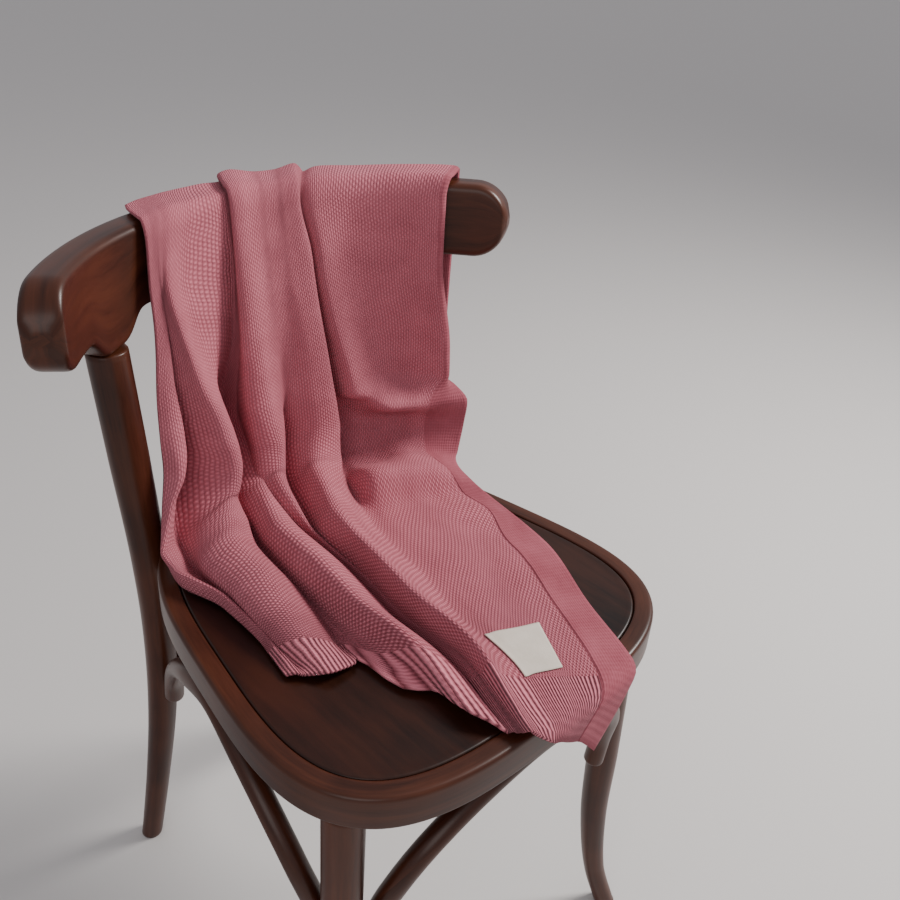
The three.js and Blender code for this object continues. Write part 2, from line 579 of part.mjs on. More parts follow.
// A sheet of even thickness over a grid of flat and along values
function sheet(grid, low, high) {
  const rows = grid.length;
  const cols = grid[0].length;
  const position = [];
  const index = [];
  const put = (shift) => grid.forEach((row) => row.forEach(([flat, along]) => {
    const { point, normal } = clothAt(flat, along);
    point.addScaledVector(normal, shift);
    position.push(point.x, point.y, point.z);
  }));
  put(high);
  put(low);
  const top = (i, j) => i * cols + j;
  const under = (i, j) => rows * cols + i * cols + j;
  const quad = (a, b, c, d) => index.push(a, b, c, a, c, d);
  for (let i = 0; i < rows - 1; i += 1) {
    for (let j = 0; j < cols - 1; j += 1) {
      quad(top(i, j), top(i + 1, j), top(i + 1, j + 1), top(i, j + 1));
      quad(under(i, j), under(i, j + 1), under(i + 1, j + 1), under(i + 1, j));
    }
  }
  for (let i = 0; i < rows - 1; i += 1) {
    quad(top(i, 0), under(i, 0), under(i + 1, 0), top(i + 1, 0));
    quad(top(i + 1, cols - 1), under(i + 1, cols - 1), under(i, cols - 1), top(i, cols - 1));
  }
  for (let j = 0; j < cols - 1; j += 1) {
    quad(top(0, j + 1), under(0, j + 1), under(0, j), top(0, j));
    quad(top(rows - 1, j), under(rows - 1, j), under(rows - 1, j + 1), top(rows - 1, j + 1));
  }
  return solid(position, index);
}

// Rows of the blanket's grid: a first distance, a last one and the steps between
const ROW_RUNS = [
  { from: 0, to: 280, steps: 4 },
  { from: 280, to: 355, steps: 9 },
  { from: 355, to: 525, steps: 6 },
  { from: 525, to: 705, steps: 13 },
  { from: 705, to: 820, steps: 6 },
  { from: 820, to: CLOTH_END, steps: 14 },
];
const WIDE_FOLD = 18;

function blanket() {
  const alongs = [0];
  ROW_RUNS.forEach((run) => {
    for (let i = 1; i <= run.steps; i += 1) alongs.push(run.from + ((run.to - run.from) * i) / run.steps);
  });
  const flats = [0];
  for (let k = 0; k < FLATS.length - 1; k += 1) {
    const span = FLATS[k + 1] - FLATS[k];
    const steps = Math.ceil(span / WIDE_FOLD);
    for (let i = 1; i <= steps; i += 1) flats.push(FLATS[k] + (span * i) / steps);
  }
  const grid = alongs.map((along) => flats.map((flat) => [flat, along]));
  addMesh('blanket', sheet(grid, -CLOTH_THICK / 2, CLOTH_THICK / 2), KNIT);
}

// Sewn-on label, a small patch that follows the cloth near its front right corner
const LABEL_CORNERS = {
  backLeft: [323, 831], backRight: [418, 824], frontRight: [405, 867], frontLeft: [322, 872],
};

function label() {
  const { backLeft, backRight, frontRight, frontLeft } = LABEL_CORNERS;
  const mix = (a, b, t) => [a[0] + (b[0] - a[0]) * t, a[1] + (b[1] - a[1]) * t];
  const grid = [];
  for (let i = 0; i <= 6; i += 1) {
    const left = mix(backLeft, frontLeft, i / 6);
    const right = mix(backRight, frontRight, i / 6);
    grid.push([]);
    for (let j = 0; j <= 8; j += 1) grid[i].push(mix(left, right, j / 8));
  }
  const low = CLOTH_THICK / 2 + LABEL_GAP;
  addMesh('label', sheet(grid, low, low + LABEL_THICK), COTTON);
}

seatRing();
seatPanel();
backRail();
legs();
braces();
blanket();
label();

// The origin is the middle of the bottom of the whole object
const box = new THREE.Box3().setFromObject(group);
const middle = box.getCenter(new THREE.Vector3());
group.position.set(-middle.x, -middle.y, 0);

export default group;
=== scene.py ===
import math
import bpy
import numpy as np
from mathutils import Matrix, Vector


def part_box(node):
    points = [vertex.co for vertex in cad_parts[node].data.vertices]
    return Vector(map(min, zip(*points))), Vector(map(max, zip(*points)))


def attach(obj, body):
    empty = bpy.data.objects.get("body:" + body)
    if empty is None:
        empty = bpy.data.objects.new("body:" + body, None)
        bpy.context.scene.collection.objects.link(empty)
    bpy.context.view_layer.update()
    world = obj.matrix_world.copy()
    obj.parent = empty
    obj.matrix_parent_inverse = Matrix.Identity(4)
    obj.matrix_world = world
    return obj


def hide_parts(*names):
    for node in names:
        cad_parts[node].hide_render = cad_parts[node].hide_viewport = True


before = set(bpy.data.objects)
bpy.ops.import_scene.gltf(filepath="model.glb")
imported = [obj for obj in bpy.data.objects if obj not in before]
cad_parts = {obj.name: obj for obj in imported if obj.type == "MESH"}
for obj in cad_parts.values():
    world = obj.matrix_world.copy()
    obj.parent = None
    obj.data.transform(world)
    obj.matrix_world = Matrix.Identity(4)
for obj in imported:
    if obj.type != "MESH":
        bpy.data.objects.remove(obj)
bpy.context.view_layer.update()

# Lengths are in millimetres and places are from the middle of the seat, as in the part's source
# Seat: height, reach to the front, back and side, roundness of its two ends, narrowing to the back
SEAT = 465
SEAT_FRONT, SEAT_BACK, SEAT_SIDE = 220, 198, 190
FRONT_POWER, BACK_POWER, NARROWING = 3.2, 3.4, .00087
# Seat ring: depth, width, lip around the panel, and how far the panel sinks into it
RING_DEEP, RING_WIDE, LIP, PANEL_DEEP = 33, 38, 17.5, 8
# Back rail: an arc about RAIL_CENTRE_Y, with a deeper shoulder over each rear leg
RAIL_CENTRE_Y, RAIL_OUTSIDE, RAIL_INSIDE = -59, 298, 267
RAIL_TOP, RAIL_DEEP, RAIL_LONG, RAIL_END = 768, 72, 598, 36
SHOULDER_X, SHOULDER_DEEP, SHOULDER_HALF = 157.5, 22, 34
# Blanket: thickness, distances from hem to hem and across, seam of the side band
THICK, END, WIDTH, SEAM = 2.6, 905, 490, 450
# Height of the sheet's middle where it lies on the seat
REST = SEAT + .7 + THICK / 2
# Distance along from which the fold lines begin to pull the front hem
PULL_FROM = 700
# Turn of the sheet over the front of the seat: its place, radius, bow to the sides, flat half
EDGE_Y, EDGE_ROUND, EDGE_BOW, EDGE_FLAT = -220.6, 9, .0012, 46
# Label: its corners in the sheet's flat and along distances, rear pair first, and its gap to the sheet
LABEL_CORNERS = np.array([[[323, 831], [418, 824]], [[322, 872], [405, 867]]], float)
LABEL_THICK, LABEL_GAP = .7, .8

# The frame's zero is the middle of the part's box; the seat's zero lies between its front and back
ring_low, ring_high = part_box("seat_ring")
SHIFT_Y = (ring_low.y + ring_high.y) / 2 * 1000 + (SEAT_FRONT - SEAT_BACK) / 2


def to_metres(places):
    return (places + np.array([0, SHIFT_Y, 0])) / 1000


def unit(v):
    return v / np.maximum(np.linalg.norm(v, axis=-1, keepdims=True), 1e-9)


def on_rail(along, radius, z, left, right, right_z=None):
    """Section of the base sheet that is an arc about the rail's centre, between two angles in degrees"""
    tl, tr = math.radians(left), math.radians(right)
    return (along, radius * math.sin(tl), RAIL_CENTRE_Y + radius * math.cos(tl), z,
            radius * math.sin(tr), RAIL_CENTRE_Y + radius * math.cos(tr),
            z if right_z is None else right_z, 1 / radius)


# Sections of the base sheet: distance along, left edge x y z, right edge x y z, bow
SECTIONS = np.array([
    on_rail(0, 309, 490, -13, 46, 470),
    on_rail(150, 307, 630, -14, 46, 620),
    on_rail(288, 303.5, 758, -17, 46.5),
    on_rail(306, 298.5, 772, -20, 46.5),
    on_rail(330, 267, 772, -24, 45),
    on_rail(348, 261, 758, -24.5, 44),
    on_rail(410, 259, 697, -24.5, 44),
    (500, -115, 174, 606, 188, 114, 606, .0037),
    (575, -128, 156, 530, 192, 110, 530, .0036),
    (628, -145, 132, 484, 182, 92, 481, .0028),
    (690, -148, 100, REST, 173, 20, REST, .0012),
    (750, -137, 50, REST, 158, -65, REST, .0003),
    (810, -138, 0, REST, 118, -150, REST, 0),
    (868, -141, -28, REST, 84, -230, REST, 0),
    (END, -144, -51, REST, 38, -289, REST, 0),
])
# Distances along at which each fold line has a share of the base sheet's width and a lift off it
STATIONS = [0, 290, 345, 400, 470, 530, 545, 560, 586, 620, 660, 680, 700, 745, 800, 860, 905]
# Fold lines from left to right: name, flat distance, hem pull, share and lift at each station.
# The shares at 680 lie halfway between those at 660 and 700.
FOLDS = [
    ("left edge", 0, 0,
     [0, 0, 0, -.02, -.02, -.01, -.005, 0, 0, 0, 0, 0, 0, .005, .01, .005, 0],
     [0, 0, 0, 2, 3, 3, 3, 2, 0, 0, 0, 0, 0, 0, 0, 0, 0]),
    ("left roll", 14, -2,
     [.05, .04, .02, 0, .005, .015, .01, .005, -.015, -.035, -.015, -.0075, 0, .005, .015, .02, .03],
     [3, 1, 1, 4, 9, 15, 18, 19, 12, 10, 14, 14, 14, 13, 10, 7, 3]),
    ("left strip", 24, -3,
     [.07, .06, .03, .01, .02, .05, .05, .045, .03, .02, .02, .02, .02, .015, .02, .025, .045],
     [1, 1, 2, 5, 10, 14, 15, 14, 6, 6, 10, 10, 10, 10, 8, 6, 3]),
    ("left hollow", 36, -5,
     [.1, .08, .04, .015, .045, .08, .09, .095, .095, .08, .065, .0625, .06, .03, .025, .03, .06],
     [0, 1, 2, 6, 5, -7, -12, -16, -18, -11, -3, -2.5, -2, 0, 1, 1, 2]),
    ("roll left", 50, -6,
     [.12, .1, .06, .02, .06, .11, .12, .13, .14, .12, .085, .0725, .06, .035, .03, .045, .09],
     [1, 1, 2, 8, 16, 14, 14, 14, 10, 19, 21, 21, 21, 20, 17, 11, 3]),
    ("first ridge", 66, -8,
     [.15, .13, .09, .032, .078, .14, .15, .165, .185, .2, .17, .1525, .135, .11, .095, .1, .13],
     [4, 1, 3, 12, 24, 36, 38, 40, 40, 38, 38, 36.5, 35, 32, 26, 17, 6]),
    ("ridge right", 90, -22,
     [.2, .2, .17, .12, .16, .2, .21, .22, .235, .245, .235, .2175, .2, .175, .17, .17, .19],
     [2, 1, 1, 4, 11, 26, 29, 30, 29, 26, 28, 26, 24, 20, 15, 9, 4]),
    ("ridge foot", 104, -30,
     [.24, .25, .25, .23, .245, .24, .24, .245, .25, .26, .25, .2425, .235, .21, .205, .205, .22],
     [-1, 1, 1, 2, 0, -10, -14, -16, -14, -2, 4, 4, 4, 4, 2, 0, 3]),
    ("first valley", 116, -36,
     [.29, .29, .3, .31, .31, .28, .275, .275, .275, .27, .26, .2525, .245, .215, .225, .23, .24],
     [-3, 0, 0, -2, -10, -23, -26, -27, -27, -12, 1, 1.5, 2, 2, 1, 0, 2]),
    ("under panel", 122, -8,
     [.3, .3, .306, .316, .317, .3, .295, .29, .285, .28, .268, .259, .25, .22, .245, .285, .31],
     [-2, 0, 0, -1, -8, -22, -24, -25, -22, -2, 7, 7.5, 8, 7, 4, 3, 2]),
    ("roll B left", 130, -6,
     [.305, .305, .31, .32, .322, .31, .305, .3, .295, .285, .272, .261, .25, .225, .255, .325, .41],
     [-1, 0, 0, -1, -5, -18, -19, -18, -8, 12, 17, 17.5, 18, 17, 14, 8, 4]),
    ("roll B", 144, 12,
     [.31, .31, .313, .322, .325, .32, .322, .328, .335, .335, .315, .3, .285, .265, .28, .365, .465],
     [0, 0, 0, 0, 0, -10, -10, -7, 6, 27, 34, 35, 36, 37, 35, 27, 10]),
    ("B right", 158, 15,
     [.313, .313, .316, .324, .328, .325, .325, .332, .345, .36, .36, .355, .35, .34, .36, .44, .53],
     [1, 1, 1, 1, 0, -8, -6, -2, 6, 18, 21, 21, 21, 20, 18, 14, 7]),
    ("valley BC", 168, 17,
     [.315, .314, .317, .323, .325, .322, .322, .326, .338, .355, .362, .372, .382, .387, .412, .492, .57],
     [2, 3, 3, 3, 0, -4, -2, 2, 7, 8, 6, 4, 2, 0, 0, 0, 3]),
    ("lobe left", 182, 17,
     [.318, .308, .31, .305, .3, .298, .3, .308, .322, .343, .35, .3675, .385, .39, .415, .5, .58],
     [3, 7, 7, 10, 14, 21, 24, 25, 26, 23, 19, 13, 7, 3, 2, 2, 3]),
    ("lobe", 198, 17,
     [.36, .345, .338, .335, .34, .345, .352, .36, .38, .39, .38, .385, .39, .395, .42, .51, .59],
     [8, 9, 9, 14, 21, 32, 35, 37, 38, 38, 36, 25.5, 15, 8, 8, 8, 5]),
    ("lobe right", 218, 17,
     [.4, .4, .4, .4, .4, .405, .41, .415, .42, .425, .41, .4025, .395, .398, .425, .515, .6],
     [8, 5, 5, 9, 15, 23, 25, 27, 27, 25, 20, 14, 8, 6, 8, 9, 5]),
    ("pocket", 236, 17,
     [.43, .43, .43, .43, .435, .445, .45, .45, .455, .455, .435, .4185, .402, .402, .43, .52, .605],
     [7, 4, 4, 9, 12, 12, 9, 4, -8, -12, -5, -2.5, 0, 7, 10, 9, 6]),
    ("panel left", 252, 17,
     [.47, .47, .465, .465, .47, .475, .48, .485, .49, .49, .465, .4425, .42, .41, .435, .525, .612],
     [6, 4, 5, 10, 13, 15, 15, 14, 11, 13, 17, 18, 19, 21, 21, 15, 7]),
    ("roll C", 272, 17,
     [.5, .49, .49, .5, .52, .54, .543, .545, .545, .535, .505, .4825, .46, .42, .45, .54, .625],
     [6, 5, 7, 12, 19, 24, 26, 27, 28, 30, 34, 35, 36, 37, 35, 28, 11]),
    ("panel edge", 294, 15,
     [.54, .53, .53, .56, .577, .6, .607, .614, .622, .622, .575, .5475, .52, .475, .5, .57, .65],
     [7, 8, 9, 14, 18, 23, 24, 24, 24, 20, 18, 18, 18, 21, 20, 14, 7]),
    ("back turn", 308, 13,
     [.56, .545, .54, .568, .58, .6, .608, .615, .625, .63, .595, .5725, .55, .52, .54, .605, .68],
     [5, 5, 4, 6, 6, 4, 4, 3, 2, 6, 8, 8.5, 9, 10, 9, 7, 5]),
    ("second valley", 320, 11,
     [.57, .555, .55, .575, .592, .612, .62, .63, .64, .65, .62, .605, .59, .57, .59, .65, .71],
     [0, 0, 0, -2, -5, -9, -11, -12, -13, -8, 0, .5, 1, 1, 1, 2, 3]),
    ("gather", 346, 8,
     [.61, .6, .59, .605, .63, .665, .67, .68, .69, .69, .67, .66, .65, .64, .65, .69, .74],
     [5, 4, 5, 11, 15, 23, 24, -4, -15, -4, 26, 3, 1, 1, 1, 1, 3]),
    ("curtain", 380, 6,
     [.72, .71, .71, .72, .735, .755, .76, .765, .77, .77, .75, .745, .74, .73, .73, .75, .78],
     [1, 3, 4, 4, 0, 8, 18, 29, -12, -3, 27, 1, 1, 1, 0, 1, 2]),
    ("curtain right", 415, 4,
     [.84, .85, .855, .87, .87, .86, .855, .85, .84, .84, .83, .825, .82, .81, .8, .8, .82],
     [0, 4, 5, 2, -1, 2, 10, 30, -6, 10, 24, 1, 2, 0, 0, 0, 1]),
    ("band seam", 450, 2,
     [.98, .985, .985, .99, .985, .98, .95, .93, .92, .915, .92, .93, .94, .89, .893, .88, .86],
     [2, 5, 5, 5, 8, 11, 16, 23, 3, 8, 17, 1, 2, 0, 0, 0, 0]),
    ("band turn", 458, 1,
     [1, 1, 1.003, 1.005, 1, .995, .985, .955, .945, .935, .93, .94, .95, .91, .915, .905, .89],
     [1, 3, 3, 3, 2, 8, 11, 19, 4, 7, 14, 1, 1, 0, 0, 0, 0]),
    ("right edge", 490, 0,
     [.9, .9, .9, .9, .89, .93, 1.01, 1.055, 1.045, 1.02, .98, .99, 1, 1, 1, 1, 1],
     [0, 0, 0, -3, -10, -4, 0, 6, 4, 4, 8, 4, 0, 0, 0, 0, 0]),
]
FLATS = np.array([f[1] for f in FOLDS], float)
PULLS = np.array([f[2] for f in FOLDS], float)
SHARES = np.array([f[3] for f in FOLDS]).T
LIFTS = np.array([f[4] for f in FOLDS]).T


def cubic(y0, y1, m0, m1, span, x):
    """Cubic from y0 to y1 over a span, with slopes m0 and m1 at its ends"""
    t = x / span
    return ((2 * t**3 - 3 * t**2 + 1) * y0 + (t**3 - 2 * t**2 + t) * span * m0
            + (3 * t**2 - 2 * t**3) * y1 + (t**3 - t**2) * span * m1)


def smooth(xs, ys, x):
    """Curve through the rows of a table that never overshoots them; ys has a column for each value"""
    xs = np.asarray(xs, float)
    ys = np.asarray(ys, float)
    slope = np.diff(ys, axis=0) / np.diff(xs)[:, None]
    tangent = np.zeros_like(ys)
    tangent[0], tangent[-1] = slope[0], slope[-1]
    product = slope[:-1] * slope[1:]
    total = np.where(product > 0, slope[:-1] + slope[1:], 1)
    tangent[1:-1] = np.where(product > 0, 2 * product / total, 0)
    x = np.clip(x, xs[0], xs[-1])
    i = np.clip(np.searchsorted(xs, x, side="right") - 1, 0, len(xs) - 2)
    span = (xs[i + 1] - xs[i])[..., None]
    return cubic(ys[i], ys[i + 1], tangent[i], tangent[i + 1], span, (x - xs[i])[..., None])


def across(values, flat):
    """Rounder curve through the fold lines; values has a row for each line and a column for each point"""
    tangent = np.zeros_like(values)
    for k in range(len(FLATS)):
        a, b = max(k - 1, 0), min(k + 1, len(FLATS) - 1)
        tangent[k] = (values[b] - values[a]) / (FLATS[b] - FLATS[a])
    i = np.clip(np.searchsorted(FLATS, flat, side="right") - 1, 0, len(FLATS) - 2)
    j = np.arange(len(flat))
    return cubic(values[i, j], values[i + 1, j], tangent[i, j], tangent[i + 1, j],
                 FLATS[i + 1] - FLATS[i], flat - FLATS[i])


def over_edge(x, y, z):
    """Turns what passes the front of the seat down over it"""
    edge = EDGE_Y + EDGE_BOW * np.maximum(np.abs(x) - EDGE_FLAT, 0)**2
    past = np.maximum(edge - y, 0)
    turn = np.minimum(past / EDGE_ROUND, math.pi / 2)
    drop = EDGE_ROUND * (1 - np.cos(turn)) + np.maximum(past - EDGE_ROUND * math.pi / 2, 0)
    return np.stack([x, np.where(past > 0, edge - EDGE_ROUND * np.sin(turn), y), z - drop], -1)


def section_place(share, along):
    """Place on the base sheet up to its front hem: an arc between the two edges of the section"""
    xl, yl, zl, xr, yr, zr, bow = np.moveaxis(smooth(SECTIONS[:, 0], SECTIONS[:, 1:], along), -1, 0)
    bow = np.maximum(bow, 1e-6)
    half = np.hypot(xr - xl, yr - yl) / 2
    ux, uy = (xr - xl) / (2 * half), (yr - yl) / (2 * half)
    full = np.arcsin(np.minimum(half * bow, .99))
    turn = (2 * share - 1) * full
    side, rear = np.sin(turn) / bow, (np.cos(turn) - np.cos(full)) / bow
    return np.stack([(xl + xr) / 2 + ux * side - uy * rear, (yl + yr) / 2 + uy * side + ux * rear,
                     zl + (zr - zl) * share], -1)


def base(share, along):
    """Place on the base sheet, which runs straight on past the front hem"""
    end = section_place(share, np.minimum(along, END))
    before = section_place(share, np.full_like(along, END - 1.0))
    last = section_place(share, np.full_like(along, float(END)))
    p = end + (last - before) * np.maximum(along - END, 0)[..., None]
    return over_edge(p[..., 0], p[..., 1], p[..., 2])


def base_normal(share, along):
    """Outward direction of the base sheet, softened over 10 mm each way"""
    step, nudge = 5, .004
    total = 0
    for k in range(-2, 3):
        at = np.maximum(along + k * step, 0)
        here = base(share, at)
        ahead, aside = base(share, at + 1) - here, base(share + nudge, at) - here
        total = total + unit(np.cross(ahead, aside)) * (3 - abs(k))
    return unit(total)


def cloth_at(flat, along):
    """Places on the folded sheet and outward directions, for lists of flat and along distances"""
    pull = across(np.repeat(PULLS[:, None], len(flat), 1), flat)
    share = across(smooth(STATIONS, SHARES, along).T, flat)
    lift = across(smooth(STATIONS, LIFTS, along).T, flat)
    reach = along + np.clip((along - PULL_FROM) / (END - PULL_FROM), 0, 1)**1.5 * pull
    normal = base_normal(share, reach)
    plain = base(share, reach)
    place = plain + normal * lift[:, None]
    on_seat = plain[:, 2] >= REST - .01
    place[:, 2] = np.where(on_seat, np.maximum(place[:, 2], REST), place[:, 2])
    return place, normal


def grid_mesh(name, places, stitches, rows, cols):
    """Open grid of quads; its UV is the place of each corner on the flat cloth"""
    i = np.arange(rows - 1)[:, None] * cols + np.arange(cols - 1)[None, :]
    faces = np.stack([i, i + cols, i + cols + 1, i + 1], -1).reshape(-1, 4)
    mesh = bpy.data.meshes.new(name)
    mesh.from_pydata(to_metres(places).tolist(), [], faces.tolist())
    layer = mesh.uv_layers.new(name="stitch")
    loops = np.zeros(len(mesh.loops), np.int32)
    mesh.loops.foreach_get("vertex_index", loops)
    layer.data.foreach_set("uv", stitches[loops].astype(np.float32).ravel())
    mesh.polygons.foreach_set("use_smooth", np.ones(len(mesh.polygons), bool))
    mesh.update()
    piece = bpy.data.objects.new(name, mesh)
    bpy.context.scene.collection.objects.link(piece)
    return piece


def thicken(piece, thick):
    """Gives a sheet its thickness, half to each side"""
    mod = piece.modifiers.new("thick", "SOLIDIFY")
    mod.thickness = thick / 1000
    mod.offset = 0
    mod.use_even_offset = False
    bpy.context.view_layer.objects.active = piece
    with bpy.context.temp_override(object=piece, active_object=piece, selected_objects=[piece]):
        bpy.ops.object.modifier_apply(modifier=mod.name)


def blanket_sheet():
    """The fine sheet over the folds of the solid, which may lie on each other here"""
    cols, rows = ((176, 270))
    flat, along = np.meshgrid(np.linspace(0, WIDTH, cols), np.linspace(0, END, rows))
    stitches = np.stack([flat.ravel(), along.ravel()], -1)
    places, _ = cloth_at(stitches[:, 0], stitches[:, 1])
    piece = grid_mesh("blanket_knit", places, stitches, rows, cols)
    thicken(piece, THICK)
    # A lit and a shaded tone of the one yarn colour; the stitch pattern mixes them as painted light and
    # shade
    piece.data.materials.append(knit_material("knit", (.65, .205, .255, 1), (.215, .045, .061, 1)))
    return piece


def label_patch():
    """The small patch, which follows the folds under it"""
    rows, cols = 25, 33
    t = np.linspace(0, 1, rows)[:, None, None]
    s = np.linspace(0, 1, cols)[None, :, None]
    (rear_left, rear_right), (front_left, front_right) = LABEL_CORNERS
    rear = rear_left * (1 - s) + rear_right * s
    front = front_left * (1 - s) + front_right * s
    stitches = (rear * (1 - t) + front * t).reshape(-1, 2)
    places, normal = cloth_at(stitches[:, 0], stitches[:, 1])
    places = places + normal * (THICK / 2 + LABEL_GAP + LABEL_THICK / 2)
    piece = grid_mesh("label_patch", places, stitches, rows, cols)
    thicken(piece, LABEL_THICK)
    piece.data.materials.append(label_material("label_cotton", (.72, .65, .56, 1), (.58, .51, .43, 1)))
    return piece


# Chair
def seat_outline(steps):
    """Edge of the seat and its inward directions, at even steps from the middle of the front"""
    fine = 2880
    a = (np.arange(fine) / fine - .25) * 2 * math.pi
    c, s = np.cos(a), np.sin(a)
    power = np.where(s < 0, 2 / FRONT_POWER, 2 / BACK_POWER)
    y = np.where(s < 0, SEAT_FRONT, SEAT_BACK) * np.sign(s) * np.abs(s)**power
    x = SEAT_SIDE * np.sign(c) * np.abs(c)**power * (1 - NARROWING * y)
    p = np.stack([np.append(x, x[0]), np.append(y, y[0])], -1)
    run = np.append(0, np.cumsum(np.linalg.norm(np.diff(p, axis=0), axis=1)))
    want = np.arange(steps) / steps * run[-1]
    even = np.stack([np.interp(want, run, p[:, 0]), np.interp(want, run, p[:, 1])], -1)
    side = unit(np.roll(even, -1, 0) - np.roll(even, 1, 0))
    return even, np.stack([-side[:, 1], side[:, 0]], -1), want


def loft(name, rings, runs, closed_run=False):
    """Smooth skin over closed rings of points; its UV is the distance along the piece and around it"""
    rings = np.asarray(rings, float)
    count, size = rings.shape[:2]
    i = np.arange(count if closed_run else count - 1)[:, None]
    j = np.arange(size)[None, :]
    i, j = np.broadcast_arrays(i, j)
    ni, nj = (i + 1) % count, (j + 1) % size
    quads = np.stack([i * size + j, i * size + nj, ni * size + nj, ni * size + j], -1)
    faces = quads.reshape(-1, 4).tolist()
    if not closed_run:
        faces += [list(range(size))[::-1], [(count - 1) * size + k for k in range(size)]]
    mesh = bpy.data.meshes.new(name)
    mesh.from_pydata(to_metres(rings.reshape(-1, 3)).tolist(), [], faces)
    layer = mesh.uv_layers.new(name="grain")
    around = np.linalg.norm(rings - np.roll(rings, 1, 1), axis=2).mean(0).cumsum()
    whole_run = runs[-1] + (runs[-1] - runs[-2])
    whole_ring = around[-1] + around[0]
    for poly in mesh.polygons:
        quad = len(poly.vertices) == 4
        rows = [v // size for v in poly.vertices]
        cols = [v % size for v in poly.vertices]
        last_row, last_col = max(rows) == count - 1, max(cols) == size - 1
        for row, col, loop in zip(rows, cols, poly.loop_indices):
            along = whole_run if closed_run and row == 0 and last_row else runs[row]
            round_ring = whole_ring if quad and col == 0 and last_col else around[col]
            layer.data[loop].uv = (along, round_ring)
        poly.use_smooth = quad
    mesh.update()
    piece = bpy.data.objects.new(name, mesh)
    bpy.context.scene.collection.objects.link(piece)
    return piece


def rounded(corners, radii, steps):
    """Closed profile whose corners are rounded, in its own plane"""
    corners = np.asarray(corners, float)
    out = []
    for k, radius in enumerate(radii):
        here, before, after = corners[k], corners[k - 1], corners[(k + 1) % len(corners)]
        a, b = unit(before - here), unit(after - here)
        reach = min(radius, .49 * np.linalg.norm(before - here), .49 * np.linalg.norm(after - here))
        for t in np.linspace(0, 1, steps):
            out.append((1 - t)**2 * (here + a * reach) + 2 * t * (1 - t) * here + t**2 * (here + b * reach))
    return np.array(out)


def curve_through(rows, steps):
    """Smooth curve through rows of x y z radius, which doesn't bulge where the rows are uneven"""
    rows = np.asarray(rows, float)
    p = np.vstack([2 * rows[0] - rows[1], rows, 2 * rows[-1] - rows[-2]])
    out = []
    for t in np.linspace(0, len(rows) - 1, steps):
        k = min(int(t), len(rows) - 2)
        w = t - k
        a, b, c, d = p[k:k + 4, :3]
        d0, d1, d2 = (max(np.linalg.norm(q - r)**.5, 1e-4) for q, r in ((b, a), (c, b), (d, c)))
        m1 = ((b - a) / d0 - (c - a) / (d0 + d1) + (c - b) / d1) * d1
        m2 = ((c - b) / d1 - (d - b) / (d1 + d2) + (d - c) / d2) * d1
        radius = rows[k, 3] * (1 - w) + rows[k + 1, 3] * w
        out.append(np.append(cubic(b, c, m1, m2, 1, w), radius))
    return np.array(out)


def round_bar(name, rows, steps, sides, level):
    """Bar along rows of x y z radius with eased ends; level cuts it flat, as the floor and the seat do"""
    ease = 1.5
    line = curve_through(rows, steps)
    centre, radius = line[:, :3], line[:, 3]
    ahead = unit(np.gradient(centre, axis=0))
    runs = np.append(0, np.cumsum(np.linalg.norm(np.diff(centre, axis=0), axis=1)))
    angle = np.arange(sides) / sides * 2 * math.pi
    if level:
        a, b = np.tile([1., 0, 0], (steps, 1)), np.tile([0., 1, 0], (steps, 1))
        first = last = np.array([0, 0, 1.])
    else:
        a = unit(np.cross(ahead, np.tile([.3, .2, .93], (steps, 1))))
        b = np.cross(ahead, a)
        first, last = ahead[0], ahead[-1]
    rings = [centre[k] + radius[k] * (np.cos(angle)[:, None] * a[k] + np.sin(angle)[:, None] * b[k])
             for k in range(steps)]
    # Each end gets two smaller rings, at these shares of the radius and of the eased length
    easing = ((.86, 0), (.96, .35))
    low = [centre[0] + (rings[0] - centre[0]) * s + first * ease * u for s, u in easing]
    high = [centre[-1] + (rings[-1] - centre[-1]) * s - last * ease * u for s, u in easing[::-1]]
    rings[0] = rings[0] + first * ease
    rings[-1] = rings[-1] - last * ease
    runs = np.concatenate([[0, .5], runs + 1, [runs[-1] + 1.5, runs[-1] + 2]])
    return loft(name, low + rings + high, runs)


def rail_point(along, radius, z):
    angle = along / RAIL_OUTSIDE
    return np.array([radius * math.sin(angle), RAIL_CENTRE_Y + radius * math.cos(angle), z])


def back_rail():
    middle, half_thick = (RAIL_OUTSIDE + RAIL_INSIDE) / 2, (RAIL_OUTSIDE - RAIL_INSIDE) / 2
    half_long = RAIL_LONG / 2
    straight = half_long - RAIL_END
    shoulder = math.asin(SHOULDER_X / middle) * RAIL_OUTSIDE
    ends = half_long - RAIL_END * (1 - np.cos(np.linspace(.12, math.pi / 2, 14)))
    alongs = np.concatenate([-ends, np.linspace(-straight, straight, 120)[1:-1], ends[::-1]])
    rings = []
    for along in alongs:
        from_end = half_long - abs(along)
        off = (abs(along) - shoulder) / SHOULDER_HALF
        low = RAIL_TOP - RAIL_DEEP - SHOULDER_DEEP * math.exp(-off**4)
        t = min(from_end / RAIL_END, 1)
        high = (RAIL_TOP - low) / 2 * math.sqrt(max(1 - (1 - t)**2, .02))
        thick = half_thick * min(1, .45 + from_end / 8)
        edge = min(8, high * .7, thick * .8)
        profile = rounded([(thick, high), (thick, -high), (-thick, -high), (-thick, high)], [edge] * 4, 7)
        rings.append([rail_point(along, middle + out, (RAIL_TOP + low) / 2 + up) for out, up in profile])
    return loft("rail_wood", rings, alongs)


